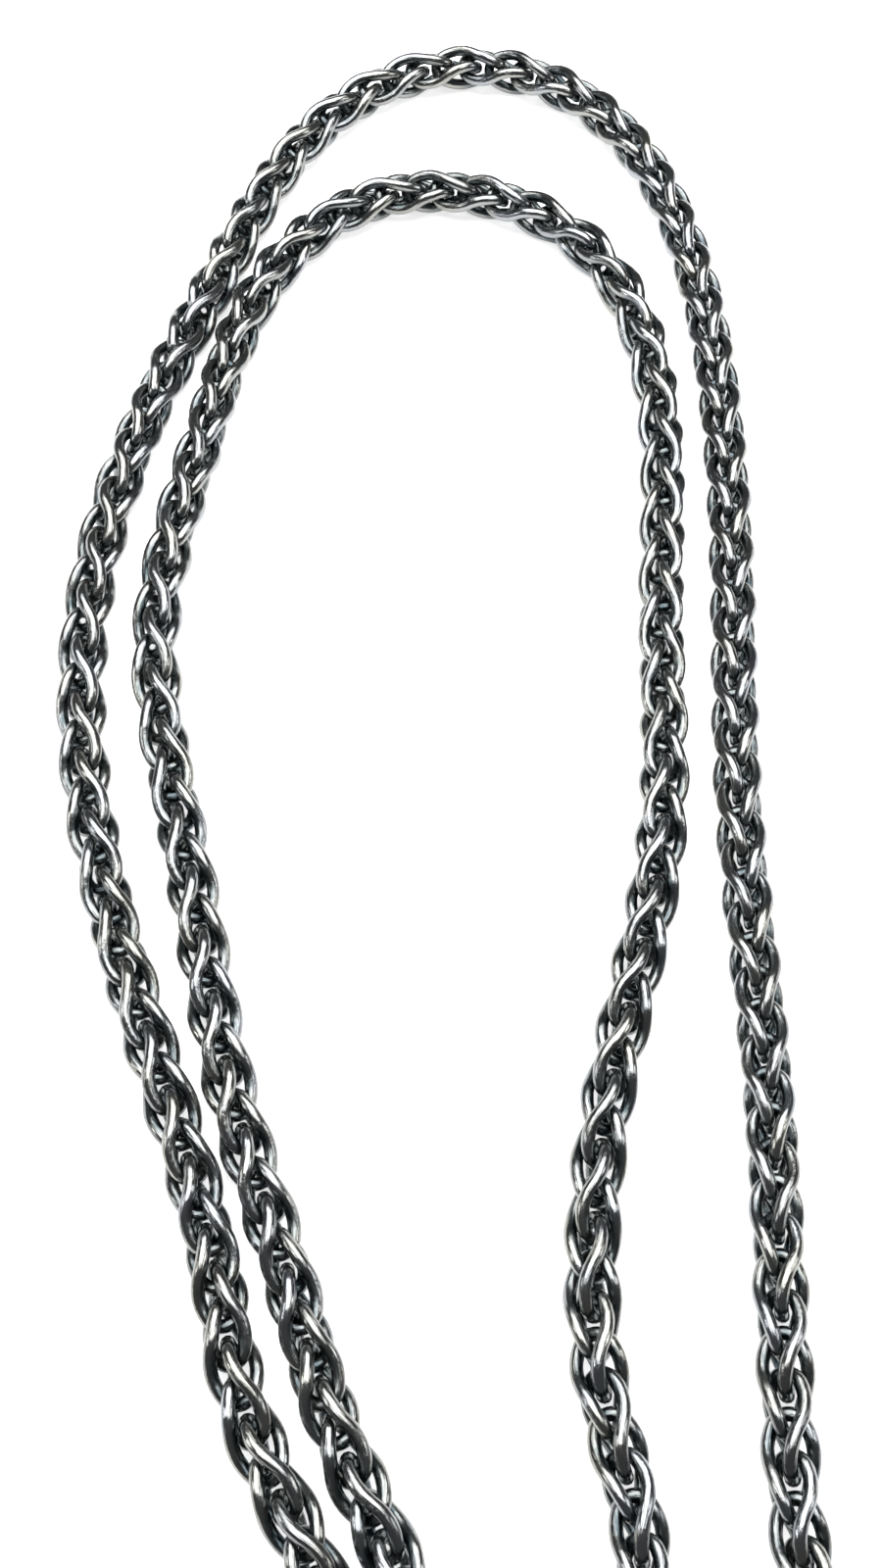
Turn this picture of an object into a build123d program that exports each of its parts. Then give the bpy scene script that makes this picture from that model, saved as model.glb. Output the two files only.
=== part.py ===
from build123d import *
import bisect
import math
import os

# A necklace of wheat chain, laid on a flat surface as a horseshoe: an outer arch, a turn back, and an
# inner arch, with both ends on one oval ring. All sizes are in mm. The surface is z = 0, +Y points from
# the open end of the horseshoe to the top of its arches, and the origin is the middle of the outline.

# Chain: two families of twisted oval links, one the mirror image of the other, half a pitch apart
wire = 0.95
chain_width = 3.96
pitch = 5.0
hook_slack = 0.48

# Twist of one link: the lean of its side wires from the chain's line, and the turn of its end arcs
# about that line, counted from the plane of its sides. The legs of a side's arc are side_share times as
# long as those of an end's arc.
side_lean = math.radians(34)
end_turn = math.radians(37)
side_share = 2.1

# Clasp: one oval ring of plain round wire, whose near run passes through both end links
clasp_wire = 1.0
clasp_gap = 0.25
clasp_past_link = 1.0
clasp_bend = 2.9

# The middle line of a link's wire: how far its sides lie from the chain's line, and how far its ends do
# from the link's middle. A link is longer inside than the pitch by the slack, with which it hooks past the
# next one of its family.
side_radius = (chain_width - wire) / 2
half_link = (pitch + wire + hook_slack) / 2
link_step = pitch / 2
hook_depth = half_link - wire / 2 - clasp_wire / 2 - clasp_gap

# The way of the chain's middle over the surface: x, y and the roll of the weave in degrees. It is read
# off every sample_step, and a wire's direction is read nudge to either side of a point.
sample_step = 0.25
nudge = 0.001
route_points = [
    (-4.3, -3.1, 104),
    (-7.9, 4.8, 82),
    (-12.5, 13.7, 67),
    (-15.1, 23.3, 42),
    (-18.3, 32.8, 16),
    (-25.0, 51.6, 52),
    (-27.9, 71.3, 74),
    (-25.1, 91.1, 107),
    (-18.8, 109.9, 171),
    (-9.6, 127.6, 192),
    (-1.2, 132.9, 195),
    (8.6, 132.1, 194),
    (16.1, 125.7, 196),
    (20.3, 116.7, 199),
    (23.4, 94.9, 215),
    (23.2, 76.9, 225),
    (22.2, 54.5, 225),
    (22.6, 37.0, 219),
    (22.2, 17.0, 199),
    (22.1, 9.6, 196),
    (22.4, 5.1, 195),
    (25.1, -2.8, 189),
    (25.0, -10.2, 181),
    (17.7, -14.7, 172),
    (11.3, -11.0, 163),
    (10.3, -4.8, 158),
    (12.4, 4.6, 155),
    (10.6, 13.9, 156),
    (10.1, 25.0, 188),
    (11.4, 33.8, 198),
    (16.1, 53.2, 203),
    (17.3, 73.2, 236),
    (18.2, 93.1, 249),
    (12.4, 111.9, 315),
    (4.0, 117.2, 351),
    (-5.8, 116.9, 355),
    (-13.4, 110.5, 376),
    (-19.6, 91.3, 433),
    (-22.3, 71.6, 458),
    (-18.6, 52.0, 516),
    (-13.8, 32.5, 520),
    (-10.4, 23.2, 511),
    (-7.1, 13.7, 487),
    (-2.7, 4.7, 446),
    (0.2, -0.8, 427),
]


def spline_through(knots, values):
    """Second derivatives, at the knots, of the smooth curve through the values, free at both ends."""
    count = len(knots)
    bends = [0.0] * count
    sweep = [0.0] * count
    for i in range(1, count - 1):
        before = knots[i] - knots[i - 1]
        after = knots[i + 1] - knots[i]
        pivot = 2 * (before + after) - before * sweep[i - 1]
        slope_change = (values[i + 1] - values[i]) / after - (values[i] - values[i - 1]) / before
        sweep[i] = after / pivot
        bends[i] = (6 * slope_change - before * bends[i - 1]) / pivot
    for i in range(count - 2, 0, -1):
        bends[i] = bends[i] - sweep[i] * bends[i + 1]
    bends[0] = 0.0
    return bends


def spline_value(knots, values, bends, i, at):
    """The curve's value between knot i and the next."""
    gap = knots[i + 1] - knots[i]
    left = (knots[i + 1] - at) / gap
    right = (at - knots[i]) / gap
    lift = (left**3 - left) * bends[i] + (right**3 - right) * bends[i + 1]
    return left * values[i] + right * values[i + 1] + lift * gap * gap / 6


def lay_route():
    """Fine samples of the way about the outline's middle: length so far, x, y, heading and roll."""
    knots = [0.0]
    for here, there in zip(route_points, route_points[1:]):
        knots.append(knots[-1] + math.dist(here[:2], there[:2]))
    columns = [[point[axis] for point in route_points] for axis in range(3)]
    bends = [spline_through(knots, column) for column in columns]
    rows = []
    for i in range(len(knots) - 1):
        steps = math.ceil((knots[i + 1] - knots[i]) / sample_step)
        for step in range(steps):
            at = knots[i] + (knots[i + 1] - knots[i]) * step / steps
            rows.append([spline_value(knots, columns[k], bends[k], i, at) for k in range(3)])
    rows.append(list(route_points[-1]))
    middle = [(max(row[k] for row in rows) + min(row[k] for row in rows)) / 2 for k in range(2)]
    samples = []
    length = 0.0
    heading = 0.0
    for i, (x, y, roll) in enumerate(rows):
        before = rows[max(i - 1, 0)]
        after = rows[min(i + 1, len(rows) - 1)]
        length += math.dist(before[:2], (x, y))
        way = math.atan2(after[1] - before[1], after[0] - before[0])
        heading += math.remainder(way - heading, math.tau)
        samples.append((length, x - middle[0], y - middle[1], heading, math.radians(roll)))
    return samples


samples = lay_route()
sample_lengths = [sample[0] for sample in samples]
route_length = sample_lengths[-1]

# An odd number of links, so that both end links are of one family
link_count = 2 * round(route_length / link_step / 2) + 1


def place(along, point):
    """Where a point of the straight chain, given from a link's middle, comes to lie on the way."""
    across, rise, ahead = point
    at = min(max(along + ahead, 0.0), route_length)
    over = along + ahead - at
    i = min(max(bisect.bisect_right(sample_lengths, at) - 1, 0), len(samples) - 2)
    share = (at - sample_lengths[i]) / (sample_lengths[i + 1] - sample_lengths[i])
    pairs = zip(samples[i][1:], samples[i + 1][1:])
    x, y, heading, roll = [here + (there - here) * share for here, there in pairs]
    side = across * math.cos(roll) - rise * math.sin(roll)
    up = across * math.sin(roll) + rise * math.cos(roll)
    x += over * math.cos(heading) + side * math.sin(heading)
    y += over * math.sin(heading) - side * math.cos(heading)
    return Vector(x, y, chain_width / 2 + up)


def joined_arcs(start, start_way, end, end_way, share):
    """Two arcs that leave the start and reach the end in the given directions, as their corner points.

    The first arc's legs are share times as long as the second's.
    """
    gap = end - start
    pull = end_way + start_way * share
    square = pull.dot(pull) - (1 + share) ** 2
    cross = -2 * gap.dot(pull)
    root = math.sqrt(cross * cross - 4 * square * gap.dot(gap))
    legs = [(-cross + root) / (2 * square), (-cross - root) / (2 * square)]
    end_leg = min(leg for leg in legs if leg > 0)
    start_leg = share * end_leg
    first = start + start_way * start_leg
    second = end - end_way * end_leg
    joint = (first * end_leg + second * start_leg) * (1 / (start_leg + end_leg))
    return [(start, first, joint), (joint, second, end)]


def wire_arc(start, corner, end, thickness):
    """Round wire bent to one arc, from start to end, whose end directions meet at the corner."""
    way = (corner - start).normalized()
    turn = way.get_angle(end - corner)
    axis_way = way.cross(end - corner).normalized()
    radius = (corner - start).length / math.tan(math.radians(turn) / 2)
    centre = start + axis_way.cross(way) * radius
    disc = Plane(origin=start, x_dir=axis_way, z_dir=way) * Circle(thickness / 2)
    return revolve(disc, Axis(centre, axis_way), turn).solid()


def wire_run(start, end, thickness):
    """Straight round wire from start to end."""
    disc = Plane(origin=start, z_dir=(end - start).normalized()) * Circle(thickness / 2)
    return extrude(disc, (end - start).length).solid()


def link_line(mirrored):
    """The four corners of a straight chain's link: a side, an end, the other side, the other end.

    Each is a point and the wire's direction there. The second half is the first one given a half
    turn about the rise axis. A mirrored link is turned a quarter as well.
    """
    side_way = (0, math.sin(side_lean), math.cos(side_lean))
    end_way = (-math.cos(end_turn), -math.sin(end_turn), 0)
    half = [((side_radius, 0, 0), side_way), ((0, 0, half_link), end_way)]
    corners = half + [tuple((-x, y, -z) for x, y, z in corner) for corner in half]
    if mirrored:
        corners = [tuple((-y, -x, z) for x, y, z in corner) for corner in corners]
    return corners


def make_link(along, mirrored):
    """One closed oval link, twisted, and bent with the chain where the way bends."""
    corners = []
    for point, way in link_line(mirrored):
        ahead = place(along, [p + nudge * w for p, w in zip(point, way)])
        behind = place(along, [p - nudge * w for p, w in zip(point, way)])
        corners.append((place(along, point), (ahead - behind).normalized()))
    arcs = []
    shares = [side_share, 1 / side_share] * 2
    for corner, following, share in zip(corners, corners[1:] + corners[:1], shares):
        arcs += joined_arcs(*corner, *following, share)
    bends = [wire_arc(*arc, wire) for arc in arcs]
    return bends[0].fuse(*bends[1:], glue=True)


def make_clasp():
    """The oval ring: its near run goes through both end links, and its far run rests on the surface."""
    first = place(0, (0, 0, -hook_depth))
    last = place(route_length, (0, 0, hook_depth))
    run_way = (last - first).normalized()
    outward = (first - place(0, (0, 0, 0))).normalized()
    bend = clasp_bend
    drop = (chain_width - clasp_wire) / 2
    tilt = math.asin(drop / (2 * bend))
    flat = (outward - run_way * outward.dot(run_way)).normalized()
    across = flat * math.cos(tilt) - Vector(0, 0, math.sin(tilt))
    start = first - run_way * clasp_past_link
    end = last + run_way * clasp_past_link
    far_start = start + across * (2 * bend)
    far_end = end + across * (2 * bend)
    end_tip = end + run_way * bend + across * bend
    start_tip = start - run_way * bend + across * bend
    pieces = [
        wire_run(start, end, clasp_wire),
        wire_arc(end, end + run_way * bend, end_tip, clasp_wire),
        wire_arc(end_tip, far_end + run_way * bend, far_end, clasp_wire),
        wire_run(far_end, far_start, clasp_wire),
        wire_arc(far_start, far_start - run_way * bend, start_tip, clasp_wire),
        wire_arc(start_tip, start - run_way * bend, start, clasp_wire),
    ]
    return pieces[0].fuse(*pieces[1:], glue=True)


stations = [route_length * k / (link_count - 1) for k in range(link_count)]
links = [make_link(along, k % 2 == 1) for k, along in enumerate(stations)]
outer_count = (link_count + 1) // 2

nodes = {
    "outer_chain": Compound(links[:outer_count]),
    "inner_chain": Compound(links[outer_count:]),
    "clasp": make_clasp(),
}

os.makedirs("parts", exist_ok=True)
for name, shape in nodes.items():
    export_step(shape, f"parts/{name}.step")
print(f"{link_count} links, {route_length:.1f} mm from first to last, chain {chain_width:.2f} mm wide")
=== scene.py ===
import math

import bpy
import numpy as np
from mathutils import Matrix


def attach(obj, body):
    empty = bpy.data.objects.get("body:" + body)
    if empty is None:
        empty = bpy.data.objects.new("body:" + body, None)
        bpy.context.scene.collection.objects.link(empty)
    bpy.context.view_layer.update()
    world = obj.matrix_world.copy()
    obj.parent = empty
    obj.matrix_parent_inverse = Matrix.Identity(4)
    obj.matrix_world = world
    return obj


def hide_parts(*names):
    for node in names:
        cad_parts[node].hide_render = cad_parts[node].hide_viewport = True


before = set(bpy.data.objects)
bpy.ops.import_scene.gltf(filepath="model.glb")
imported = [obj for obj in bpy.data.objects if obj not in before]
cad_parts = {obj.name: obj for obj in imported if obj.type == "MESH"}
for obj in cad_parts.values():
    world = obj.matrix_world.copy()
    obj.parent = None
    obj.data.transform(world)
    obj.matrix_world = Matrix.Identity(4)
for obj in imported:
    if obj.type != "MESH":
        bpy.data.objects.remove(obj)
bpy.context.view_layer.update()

# A wheat chain necklace of antiqued silver, laid flat as a horseshoe on a pale surface. Everything is in
# metres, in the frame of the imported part: the surface is z = 0 and +Y points to the top of the arches.

# The viewpoint. The photo was taken from close above the open end of the horseshoe, looking down and
# forward. The pitch is counted from straight down, and the point is where the strands' narrowing puts it.
viewpoint = (0.00107, -0.05933, 0.12078)
pitch_from_down = math.radians(26.2)
sensor_width = 36.0
focal_length = 40.5
nearest_seen = 0.002

eye = bpy.data.cameras.new("eye")
eye.lens = focal_length
eye.sensor_width = sensor_width
eye.clip_start = nearest_seen
eye_object = bpy.data.objects.new("eye", eye)
eye_object.location = viewpoint
eye_object.rotation_euler = (pitch_from_down, 0, 0)
bpy.context.scene.collection.objects.link(eye_object)
bpy.context.scene.camera = eye_object
bpy.context.scene.view_settings.view_transform = "Standard"

# The surface that the necklace lies on: plain pale card, matt, with a faint unevenness in its tone. A little
# light comes through it from below, as on a light table, so that it stays white under the chain too.
card_size = 3.0
card_tone = (0.80, 0.80, 0.80, 1)
card_shade = (0.76, 0.76, 0.76, 1)
card_glow = 0.68
card_cloud_scale = 40
card_roughness = 0.9
card_gloss = 0.2

card_mesh = bpy.data.meshes.new("card")
half_card = card_size / 2
card_corners = [(-half_card, -half_card, 0), (half_card, -half_card, 0),
                (half_card, half_card, 0), (-half_card, half_card, 0)]
card_mesh.from_pydata(card_corners, [], [(0, 1, 2, 3)])
card = bpy.data.objects.new("card", card_mesh)
bpy.context.scene.collection.objects.link(card)

card_finish = bpy.data.materials.new("card")
card_finish.use_nodes = True
nodes = card_finish.node_tree.nodes
links = card_finish.node_tree.links
surface = nodes["Principled BSDF"]
place = nodes.new("ShaderNodeTexCoord")
cloud = nodes.new("ShaderNodeTexNoise")
cloud.inputs["Scale"].default_value = card_cloud_scale
tone = nodes.new("ShaderNodeMix")
tone.data_type = "RGBA"
tone.inputs["A"].default_value = card_tone
tone.inputs["B"].default_value = card_shade
links.new(place.outputs["Object"], cloud.inputs["Vector"])
links.new(cloud.outputs["Fac"], tone.inputs["Factor"])
links.new(tone.outputs["Result"], surface.inputs["Base Color"])
surface.inputs["Roughness"].default_value = card_roughness
surface.inputs["Specular IOR Level"].default_value = card_gloss
surface.inputs["Emission Color"].default_value = (1, 1, 1, 1)
surface.inputs["Emission Strength"].default_value = card_glow
card_mesh.materials.append(card_finish)

# Light: one broad soft panel above and beyond the arches, a weaker one on each side, and a dim room. Each
# panel has its place, the point that it faces, the length of its sides and its power.
above_place = (0.0, 0.10, 0.34)
above_aim = (0, 0.01, 0)
above_size = 0.43
above_power = 3.3
left_place = (-0.42, -0.05, 0.22)
right_place = (0.42, 0.0, 0.24)
side_aim = (0, 0, 0)
side_size = 0.12
side_power = 0.30
room_colour = (0.75, 0.77, 0.80, 1)
room_strength = 0.17


def hang_panel(name, place, aim, size, power):
    """A flat square light of the given side, turned to face the aim."""
    panel = bpy.data.lights.new(name, "AREA")
    panel.shape = "SQUARE"
    panel.size = size
    panel.energy = power
    holder = bpy.data.objects.new(name, panel)
    way = [a - p for a, p in zip(aim, place)]
    lean = math.acos(-way[2] / math.hypot(*way))
    turn = math.atan2(way[1], way[0]) - math.pi / 2
    holder.location = place
    holder.rotation_euler = (lean, 0, turn)
    bpy.context.scene.collection.objects.link(holder)


hang_panel("panel_above", above_place, above_aim, above_size, above_power)
hang_panel("panel_left", left_place, side_aim, side_size, side_power)
hang_panel("panel_right", right_place, side_aim, side_size, side_power)
room = bpy.data.worlds.new("room")
room.use_nodes = True
room.node_tree.nodes["Background"].inputs["Color"].default_value = room_colour
room.node_tree.nodes["Background"].inputs["Strength"].default_value = room_strength
bpy.context.scene.world = room

# The chain. Each link is drawn round wire, twisted, closed and soldered, and woven through its neighbours.
# Two families of links alternate, one the mirror image of the other. The chain was darkened as a whole
# and polished again, so that it is bright on the crests. Between them its colour is almost black, partly
# from that tarnish and partly as shade painted into the hollows and onto the wires' flanks.

# Driving sizes, the same as in the part's source: the wire, the chain's width, the pitch of one family, how
# much longer than that a link is inside, and the twist of a link's sides and ends
wire = 0.00095
chain_width = 0.00396
pitch = 0.005
hook_slack = 0.00048
side_lean = math.radians(34)
end_turn = math.radians(37)
side_share = 2.1

side_radius = (chain_width - wire) / 2
half_link = (pitch + wire + hook_slack) / 2

# The chosen points of the chain's middle line, in mm as in the part's source, with the roll in degrees
way_points = np.array([
    (-4.3, -3.1, 104),
    (-7.9, 4.8, 82),
    (-12.5, 13.7, 67),
    (-15.1, 23.3, 42),
    (-18.3, 32.8, 16),
    (-25.0, 51.6, 52),
    (-27.9, 71.3, 74),
    (-25.1, 91.1, 107),
    (-18.8, 109.9, 171),
    (-9.6, 127.6, 192),
    (-1.2, 132.9, 195),
    (8.6, 132.1, 194),
    (16.1, 125.7, 196),
    (20.3, 116.7, 199),
    (23.4, 94.9, 215),
    (23.2, 76.9, 225),
    (22.2, 54.5, 225),
    (22.6, 37.0, 219),
    (22.2, 17.0, 199),
    (22.1, 9.6, 196),
    (22.4, 5.1, 195),
    (25.1, -2.8, 189),
    (25.0, -10.2, 181),
    (17.7, -14.7, 172),
    (11.3, -11.0, 163),
    (10.3, -4.8, 158),
    (12.4, 4.6, 155),
    (10.6, 13.9, 156),
    (10.1, 25.0, 188),
    (11.4, 33.8, 198),
    (16.1, 53.2, 203),
    (17.3, 73.2, 236),
    (18.2, 93.1, 249),
    (12.4, 111.9, 315),
    (4.0, 117.2, 351),
    (-5.8, 116.9, 355),
    (-13.4, 110.5, 376),
    (-19.6, 91.3, 433),
    (-22.3, 71.6, 458),
    (-18.6, 52.0, 516),
    (-13.8, 32.5, 520),
    (-10.4, 23.2, 511),
    (-7.1, 13.7, 487),
    (-2.7, 4.7, 446),
    (0.2, -0.8, 427),
])


def smooth_through(knots, values, at):
    """The natural cubic spline: on each span the two end values are blended in a straight line, and the
    cubes of the two shares add the bends at its ends, which one linear system makes smooth."""
    span = np.diff(knots)
    system = np.diag(np.r_[1.0, 2 * (span[:-1] + span[1:]), 1.0])
    inner = np.arange(1, len(knots) - 1)
    system[inner, inner - 1] = span[:-1]
    system[inner, inner + 1] = span[1:]
    slopes = np.diff(values, axis=0) / span[:, None]
    wanted = np.zeros_like(values)
    wanted[1:-1] = 6 * np.diff(slopes, axis=0)
    bends = np.linalg.solve(system, wanted)
    i = np.clip(np.searchsorted(knots, at, side="right") - 1, 0, len(span) - 1)
    left = ((knots[i + 1] - at) / span[i])[:, None]
    right = 1 - left
    lift = (left**3 - left) * bends[i] + (right**3 - right) * bends[i + 1]
    return left * values[i] + right * values[i + 1] + lift * span[i, None] ** 2 / 6


mm_in_a_metre = 1000
way_points[:, :2] /= mm_in_a_metre
knots = np.r_[0, np.cumsum(np.hypot(*np.diff(way_points[:, :2], axis=0).T))]
way_samples = 2500
fine = smooth_through(knots, way_points, np.linspace(0, knots[-1], way_samples))
way_xy = fine[:, :2] - (fine[:, :2].max(axis=0) + fine[:, :2].min(axis=0)) / 2
way_length = np.r_[0, np.cumsum(np.hypot(*np.diff(way_xy, axis=0).T))]
steps = np.gradient(way_xy, axis=0)
way_heading = np.unwrap(np.arctan2(steps[:, 1], steps[:, 0]))
way_roll = np.radians(fine[:, 2])
link_count = 2 * round(way_length[-1] / (pitch / 2) / 2) + 1


def way_at(along):
    """The way's point, heading and roll at each length along it. Past its ends the line runs on straight."""
    at = np.clip(along, 0, way_length[-1])
    heading = np.interp(at, way_length, way_heading)
    roll = np.interp(at, way_length, way_roll)
    over = along - at
    x = np.interp(at, way_length, way_xy[:, 0]) + over * np.cos(heading)
    y = np.interp(at, way_length, way_xy[:, 1]) + over * np.sin(heading)
    return np.stack([x, y, np.full_like(x, chain_width / 2)], axis=-1), heading, roll


def lay(along, point):
    """Straight-chain points brought onto the way: the last coordinate goes along it, the first two are
    turned by the roll, and then stand to the right of the way and above it."""
    middle, heading, roll = way_at(along + point[..., 2])
    side = point[..., 0] * np.cos(roll) - point[..., 1] * np.sin(roll)
    up = point[..., 0] * np.sin(roll) + point[..., 1] * np.cos(roll)
    return middle + np.stack([side * np.sin(heading), -side * np.cos(heading), up], axis=-1)


def unit(vectors):
    """Each vector divided by its own length."""
    return vectors / np.linalg.norm(vectors, axis=-1, keepdims=True)


def arc_between(start, corner, end, shares):
    """A circle's arc from three corner points: the weighted mean of start, corner and end, where the
    corner's weight is the cosine of half the turn."""
    turn = np.sum(unit(corner - start) * unit(end - corner), axis=-1)
    weight = np.sqrt((1 + turn) / 2)[..., None, None]
    t = shares[:, None]
    parts = ((1 - t) ** 2, 2 * t * (1 - t) * weight, t**2)
    sums = parts[0] * start[..., None, :] + parts[1] * corner[..., None, :] + parts[2] * end[..., None, :]
    return sums / (parts[0] + parts[1] + parts[2])


def two_arcs(start, start_way, end, end_way, share, shares):
    """Two tangent arcs from start to end with given directions at both. The first one's legs are share
    times the second's, whose length solves the quadratic that keeps the joint's legs in one line."""
    gap = end - start
    pull = end_way + start_way * share
    square = np.sum(pull * pull, axis=-1) - (1 + share) ** 2
    cross = -2 * np.sum(gap * pull, axis=-1)
    root = np.sqrt(cross**2 - 4 * square * np.sum(gap * gap, axis=-1))
    legs = np.stack([(-cross + root) / (2 * square), (-cross - root) / (2 * square)])
    end_leg = np.min(np.where(legs > 0, legs, np.inf), axis=0)[..., None]
    first = start + start_way * end_leg * share
    second = end - end_way * end_leg
    joint = (first + second * share) / (1 + share)
    return [arc_between(start, first, joint, shares), arc_between(joint, second, end, shares)]


# A link's line has eight arcs of arc_steps points each. A wire's direction is read nudge to either side.
arc_steps = 6
wire_sides = 12
nudge = 1e-6


def link_lines(along, mirrored):
    """The closed middle lines of the links at these stations, as an array of links by points.

    A link's corners are a side, an end, the other side and the other end. The second half is the first
    one given a half turn, and a mirrored link swaps across and up. Two arcs join each corner to the next.
    """
    half = np.array([(side_radius, 0, 0), (0, 0, half_link)])
    half_ways = np.array([(0, math.sin(side_lean), math.cos(side_lean)),
                          (-math.cos(end_turn), -math.sin(end_turn), 0)])
    points = np.concatenate([half, half * (-1, 1, -1)])
    ways = np.concatenate([half_ways, half_ways * (-1, 1, -1)])
    if mirrored:
        points = points[:, [1, 0, 2]] * (-1, -1, 1)
        ways = ways[:, [1, 0, 2]] * (-1, -1, 1)
    corners = lay(along[:, None], points[None])
    ahead = lay(along[:, None], (points + nudge * ways)[None])
    behind = lay(along[:, None], (points - nudge * ways)[None])
    corner_ways = unit(ahead - behind)
    shares = np.arange(arc_steps) / arc_steps
    lines = []
    for k in range(len(points)):
        after = (k + 1) % len(points)
        share = side_share if k % 2 == 0 else 1 / side_share
        start, start_way = corners[:, k], corner_ways[:, k]
        end, end_way = corners[:, after], corner_ways[:, after]
        lines += two_arcs(start, start_way, end, end_way, share, shares)
    return np.concatenate(lines, axis=1)


def wire_rings(lines, radius, sides):
    """Round wire about closed lines: each ring of points stands across the line, on a circle whose first
    direction points away from the middle of the loop."""
    ahead = unit(np.roll(lines, -1, axis=1) - np.roll(lines, 1, axis=1))
    spread = lines - lines.mean(axis=1, keepdims=True)
    across = unit(np.cross(ahead, spread))
    away = np.cross(across, ahead)
    angle = np.arange(sides) / sides * math.tau
    normals = away[:, :, None] * np.cos(angle)[:, None] + across[:, :, None] * np.sin(angle)[:, None]
    return lines[:, :, None] + normals * radius, normals


# The streaks along a wire: how much of their pattern half a link covers, and how far apart in the pattern
# the links may start, so that no two look alike
chance_seed = 7
chance = np.random.default_rng(chance_seed)
streak_stretch = 2.2
streak_spread = 100.0


def closed_tubes(name, rings, values):
    """One mesh object of closed tubes. Its quads join each ring to the next and each side to the next, in
    the order that turns their faces outwards.

    The values are numbers kept at its points, by name. The points also keep where they lie on their wire:
    the cosine and sine of the angle round it, and the distance along it from the ring opposite the first
    one, as a share of half the loop, stretched and moved by a chance amount for each loop.
    """
    loops, count, sides = rings.shape[:3]
    number = np.arange(loops * count * sides).reshape(loops, count, sides)
    ahead = np.roll(number, -1, axis=1)
    quads = np.stack([number, np.roll(number, -1, axis=2), np.roll(ahead, -1, axis=2), ahead], axis=-1)
    mesh = bpy.data.meshes.new(name)
    mesh.vertices.add(number.size)
    mesh.vertices.foreach_set("co", rings.reshape(-1).astype(np.float32))
    mesh.loops.add(quads.size)
    mesh.loops.foreach_set("vertex_index", quads.reshape(-1).astype(np.int32))
    mesh.polygons.add(number.size)
    mesh.polygons.foreach_set("loop_start", np.arange(0, quads.size, 4, dtype=np.int32))
    mesh.update(calc_edges=True)
    mesh.polygons.foreach_set("use_smooth", np.ones(number.size, bool))
    for key, numbers in values.items():
        kept = mesh.attributes.new(key, "FLOAT", "POINT")
        kept.data.foreach_set("value", numbers.reshape(-1).astype(np.float32))
    angle = np.arange(sides) / sides * math.tau
    on_wire = np.empty((loops, count, sides, 3), np.float32)
    on_wire[..., 0] = np.cos(angle)
    on_wire[..., 1] = np.sin(angle)
    on_wire[..., 2] = np.abs(1 - 2 * np.arange(count) / count)[:, None] * streak_stretch
    on_wire[..., 2] += chance.random(loops)[:, None, None] * streak_spread
    kept = mesh.attributes.new("on_wire", "FLOAT_VECTOR", "POINT")
    kept.data.foreach_set("vector", on_wire.reshape(-1))
    piece = bpy.data.objects.new(name, mesh)
    bpy.context.scene.collection.objects.link(piece)
    return piece


def ahead_of(heading):
    """The level direction of a heading: its cosine, its sine and zero."""
    return np.stack([np.cos(heading), np.sin(heading), np.zeros_like(heading)], axis=-1)


least_distance = wire / 20


# Painted shade: these two measures also set where the silver's colour is painted dark, in the recesses and
# on the wires' flanks.
def wear_and_shade_measures(along, rings, normals):
    """How far out each point of the wire lies from the chain's line, as a share of the chain's half width,
    and how squarely its surface faces out from that line: the normal times the direction out, -1 to 1."""
    middle, heading, _ = way_at(along)
    offset = np.sum((rings - middle[:, None, None]) * ahead_of(heading)[:, None, None], axis=-1)
    line, line_heading, _ = way_at(along[:, None, None] + offset)
    line_ahead = ahead_of(line_heading)
    out = rings - line
    out = out - np.sum(out * line_ahead, axis=-1, keepdims=True) * line_ahead
    distance = np.linalg.norm(out, axis=-1)
    facing = np.sum(out * normals, axis=-1) / np.maximum(distance, least_distance)
    return distance / (chain_width / 2), facing


stations = way_length[-1] * np.arange(link_count) / (link_count - 1)
outer_count = (link_count + 1) // 2


def make_strand(name, first, last):
    """The links from the first station up to the last, both families in one mesh."""
    numbers = np.arange(first, last)
    rings = []
    normals = []
    along = []
    for mirrored in (False, True):
        chosen = stations[numbers[numbers % 2 == mirrored]]
        family_rings, family_normals = wire_rings(link_lines(chosen, mirrored), wire / 2, wire_sides)
        rings.append(family_rings)
        normals.append(family_normals)
        along.append(chosen)
    rings = np.concatenate(rings)
    normals = np.concatenate(normals)
    height, facing = wear_and_shade_measures(np.concatenate(along), rings, normals)
    shade = np.broadcast_to(chance.random(len(rings))[:, None, None], height.shape)
    return closed_tubes(name, rings, {"height": height, "facing": facing, "shade": shade})


outer_links = make_strand("outer_links", 0, outer_count)
inner_links = make_strand("inner_links", outer_count, link_count)


# The silver. Polish comes with how squarely the wire faces out and how far out it lies, both made uneven by
# mottling and by the streaks along the wire. Where it is low the colour is dark: partly tarnish in the
# hollows, partly painted shade on the flanks and in the recesses. Each range runs from fully dark to fully
# polished, and each cloud is the scale of its noise and the number of its finer layers.
mottle_cloud = (700, 4)
streak_cloud = (3.2, 4)
mottle_share = 0.5
streak_share = 0.9
polish_shift = 0.66
facing_range = (0.05, 0.95)
height_range = (0.20, 0.75)
height_unevenness = 0.3

# Polished silver is warm or cool in large clouds and duller on some links. The dark colour, tarnish together
# with painted shade, is black to grey.
tint_cloud = (260, 2)
tarnish_cloud = (800, 4)
cloud_range = (0.35, 0.65)
warm_silver = (0.275, 0.275, 0.252, 1)
cool_silver = (0.265, 0.275, 0.292, 1)
dull_silver = (0.18, 0.183, 0.181, 1)
dullest_share = 0.5
black_tarnish_and_shade = (0.048, 0.064, 0.071, 1)
grey_tarnish_and_shade = (0.160, 0.170, 0.168, 1)

# Roughness, with a fine grain in it, and small dents: pits and the streaks
tarnished_roughness = 0.22
polished_roughness = 0.16
grain_cloud = (2200, 3)
grain_amount = 0.10
pit_cloud = (1400, 3)
pit_share = 0.6
dent_strength = 0.8
dent_depth = 0.00005


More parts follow.
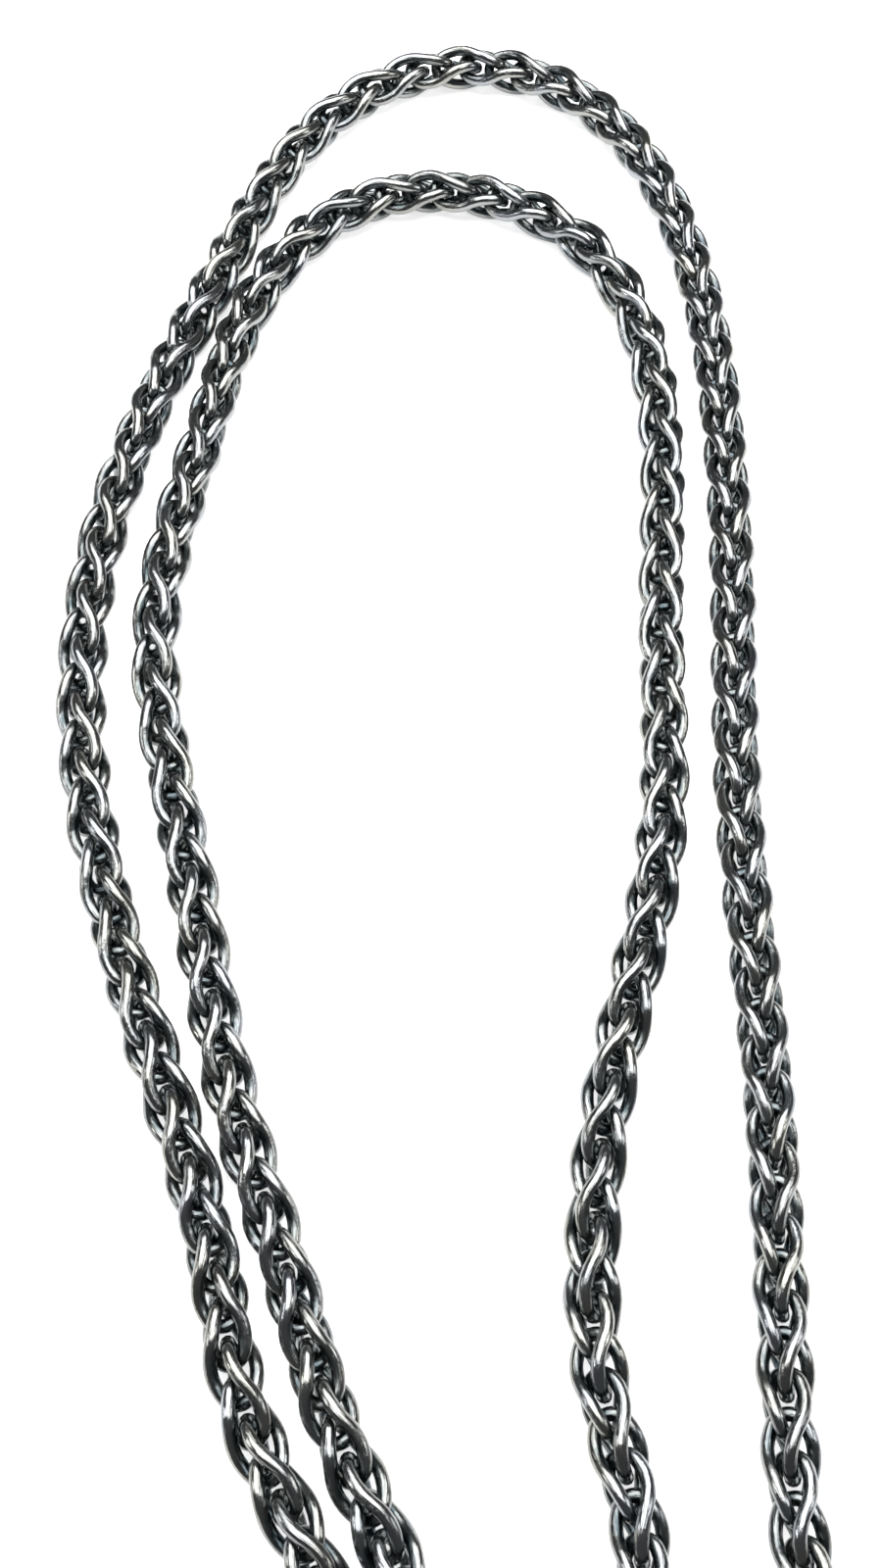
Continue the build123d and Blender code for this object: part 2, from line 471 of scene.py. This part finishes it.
def silver_finish(name):
    """Antiqued silver: polished metal where the wire's surface faces out and lies far out, and elsewhere a
    dark colour that is partly tarnish and partly painted shade."""
    finish = bpy.data.materials.new(name)
    finish.use_nodes = True
    nodes = finish.node_tree.nodes
    links = finish.node_tree.links
    surface = nodes["Principled BSDF"]
    surface.inputs["Metallic"].default_value = 1.0
    spot = nodes.new("ShaderNodeTexCoord").outputs["Object"]
    on_wire = nodes.new("ShaderNodeAttribute")
    on_wire.attribute_name = "on_wire"

    def number(name):
        kept = nodes.new("ShaderNodeAttribute")
        kept.attribute_name = name
        return kept.outputs["Fac"]

    def speckle(scale, detail, where=spot):
        noise = nodes.new("ShaderNodeTexNoise")
        noise.inputs["Scale"].default_value = scale
        noise.inputs["Detail"].default_value = detail
        links.new(where, noise.inputs["Vector"])
        return noise.outputs["Fac"]

    def sums(kind, a, b):
        step = nodes.new("ShaderNodeMath")
        step.operation = kind
        for socket, value in zip(step.inputs, (a, b)):
            if isinstance(value, (int, float)):
                socket.default_value = value
            else:
                links.new(value, socket)
        return step.outputs[0]

    def ramp(value, low, high, to_low=0.0, to_high=1.0):
        step = nodes.new("ShaderNodeMapRange")
        step.interpolation_type = "SMOOTHSTEP"
        for key, amount in zip(("From Min", "From Max", "To Min", "To Max"), (low, high, to_low, to_high)):
            step.inputs[key].default_value = amount
        links.new(value, step.inputs["Value"])
        return step.outputs["Result"]

    def blend(share, a, b):
        step = nodes.new("ShaderNodeMix")
        step.data_type = "RGBA"
        links.new(share, step.inputs["Factor"])
        for key, value in (("A", a), ("B", b)):
            if isinstance(value, tuple):
                step.inputs[key].default_value = value
            else:
                links.new(value, step.inputs[key])
        return step.outputs["Result"]

    streak = speckle(*streak_cloud, on_wire.outputs["Vector"])
    mottle = sums("MULTIPLY", speckle(*mottle_cloud), mottle_share)
    uneven = sums("ADD", mottle, sums("MULTIPLY", streak, streak_share))
    uneven = sums("SUBTRACT", uneven, polish_shift)
    facing = ramp(sums("ADD", number("facing"), uneven), *facing_range)
    height = ramp(sums("ADD", number("height"), sums("MULTIPLY", uneven, height_unevenness)), *height_range)
    # Painted shade: where this mask is low, the base colour is dark, partly tarnish and partly shade painted
    # onto the flanks and into the recesses.
    polish_and_shade = sums("MULTIPLY", facing, height)
    tint = blend(ramp(speckle(*tint_cloud), *cloud_range), warm_silver, cool_silver)
    bright = blend(ramp(number("shade"), 0.0, 1.0, 0.0, dullest_share), tint, dull_silver)
    dark = blend(ramp(speckle(*tarnish_cloud), *cloud_range), black_tarnish_and_shade, grey_tarnish_and_shade)
    links.new(blend(polish_and_shade, dark, bright), surface.inputs["Base Color"])
    grain = sums("MULTIPLY", sums("SUBTRACT", speckle(*grain_cloud), 0.5), grain_amount)
    roughness = ramp(polish_and_shade, 0.0, 1.0, tarnished_roughness, polished_roughness)
    links.new(sums("ADD", roughness, grain), surface.inputs["Roughness"])
    bump = nodes.new("ShaderNodeBump")
    bump.inputs["Strength"].default_value = dent_strength
    bump.inputs["Distance"].default_value = dent_depth
    pits = sums("MULTIPLY", speckle(*pit_cloud), pit_share)
    links.new(sums("ADD", pits, streak), bump.inputs["Height"])
    links.new(bump.outputs["Normal"], surface.inputs["Normal"])
    return finish


# Painted shade: this one material paints the hollows and flanks dark along with the tarnish.
silver = silver_finish("antiqued_silver_painted_shade")
for strand, node in ((outer_links, "outer_chain"), (inner_links, "inner_chain")):
    strand.data.materials.append(silver)
    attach(strand, "root")
    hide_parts(node)

# The clasp: one plain oval ring of the same silver, bent from slightly thicker round wire and put through
# both end links. Its near run lies at the chain's middle height, and its far run rests on the surface.

clasp_wire = 0.001
clasp_gap = 0.00025
clasp_past_link = 0.001
clasp_bend = 0.0029
clasp_steps = 12
clasp_sides = 20
clasp_polish_height = 0.9
clasp_shade = 0.4

hook_depth = half_link - wire / 2 - clasp_wire / 2 - clasp_gap
ends = lay(np.array([0.0, way_length[-1]]), np.array([(0, 0, -hook_depth), (0, 0, hook_depth)]))
first_middle = lay(np.array([0.0]), np.zeros((1, 3)))[0]
run_way = unit(ends[1] - ends[0])
outward = unit(ends[0] - first_middle)
tilt = math.asin((chain_width - clasp_wire) / 2 / (2 * clasp_bend))
flat = unit(outward - run_way * np.dot(outward, run_way))
across = flat * math.cos(tilt) - np.array((0, 0, math.sin(tilt)))
start = ends[0] - run_way * clasp_past_link
end = ends[1] + run_way * clasp_past_link


def clasp_line():
    """Two straight runs joined by half circles: each run from end to end, then each half circle as the
    bend's radius times the cosine and sine of the angle about its middle."""
    run = np.linspace(0, 1, clasp_steps, endpoint=False)[:, None]
    angle = np.linspace(0, math.pi, 2 * clasp_steps, endpoint=False)[:, None]
    middles = (end + across * clasp_bend, start + across * clasp_bend)
    near = start + (end - start) * run
    turn = middles[0] - across * clasp_bend * np.cos(angle) + run_way * clasp_bend * np.sin(angle)
    far = end + (start - end) * run + across * 2 * clasp_bend
    back = middles[1] + across * clasp_bend * np.cos(angle) - run_way * clasp_bend * np.sin(angle)
    return np.concatenate([near, turn, far, back])[None]


# The ring's facing is how squarely its surface looks away from the ring's middle, brought onto 0 to 1. Where
# it is low, on the ring's inner side, the colour is dark, partly tarnish and partly painted shade.
ring_line = clasp_line()
ring_rings, ring_normals = wire_rings(ring_line, clasp_wire / 2, clasp_sides)
ring_out = unit(ring_rings - ring_line.mean(axis=1)[:, None, None])
ring_facing = np.sum(ring_out * ring_normals, axis=-1) * 0.5 + 0.5
clasp_ring = closed_tubes("clasp_ring", ring_rings, {
    "height": np.full(ring_facing.shape, clasp_polish_height),
    "facing": ring_facing,
    "shade": np.full(ring_facing.shape, clasp_shade),
})
clasp_ring.data.materials.append(silver)
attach(clasp_ring, "root")
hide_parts("clasp")
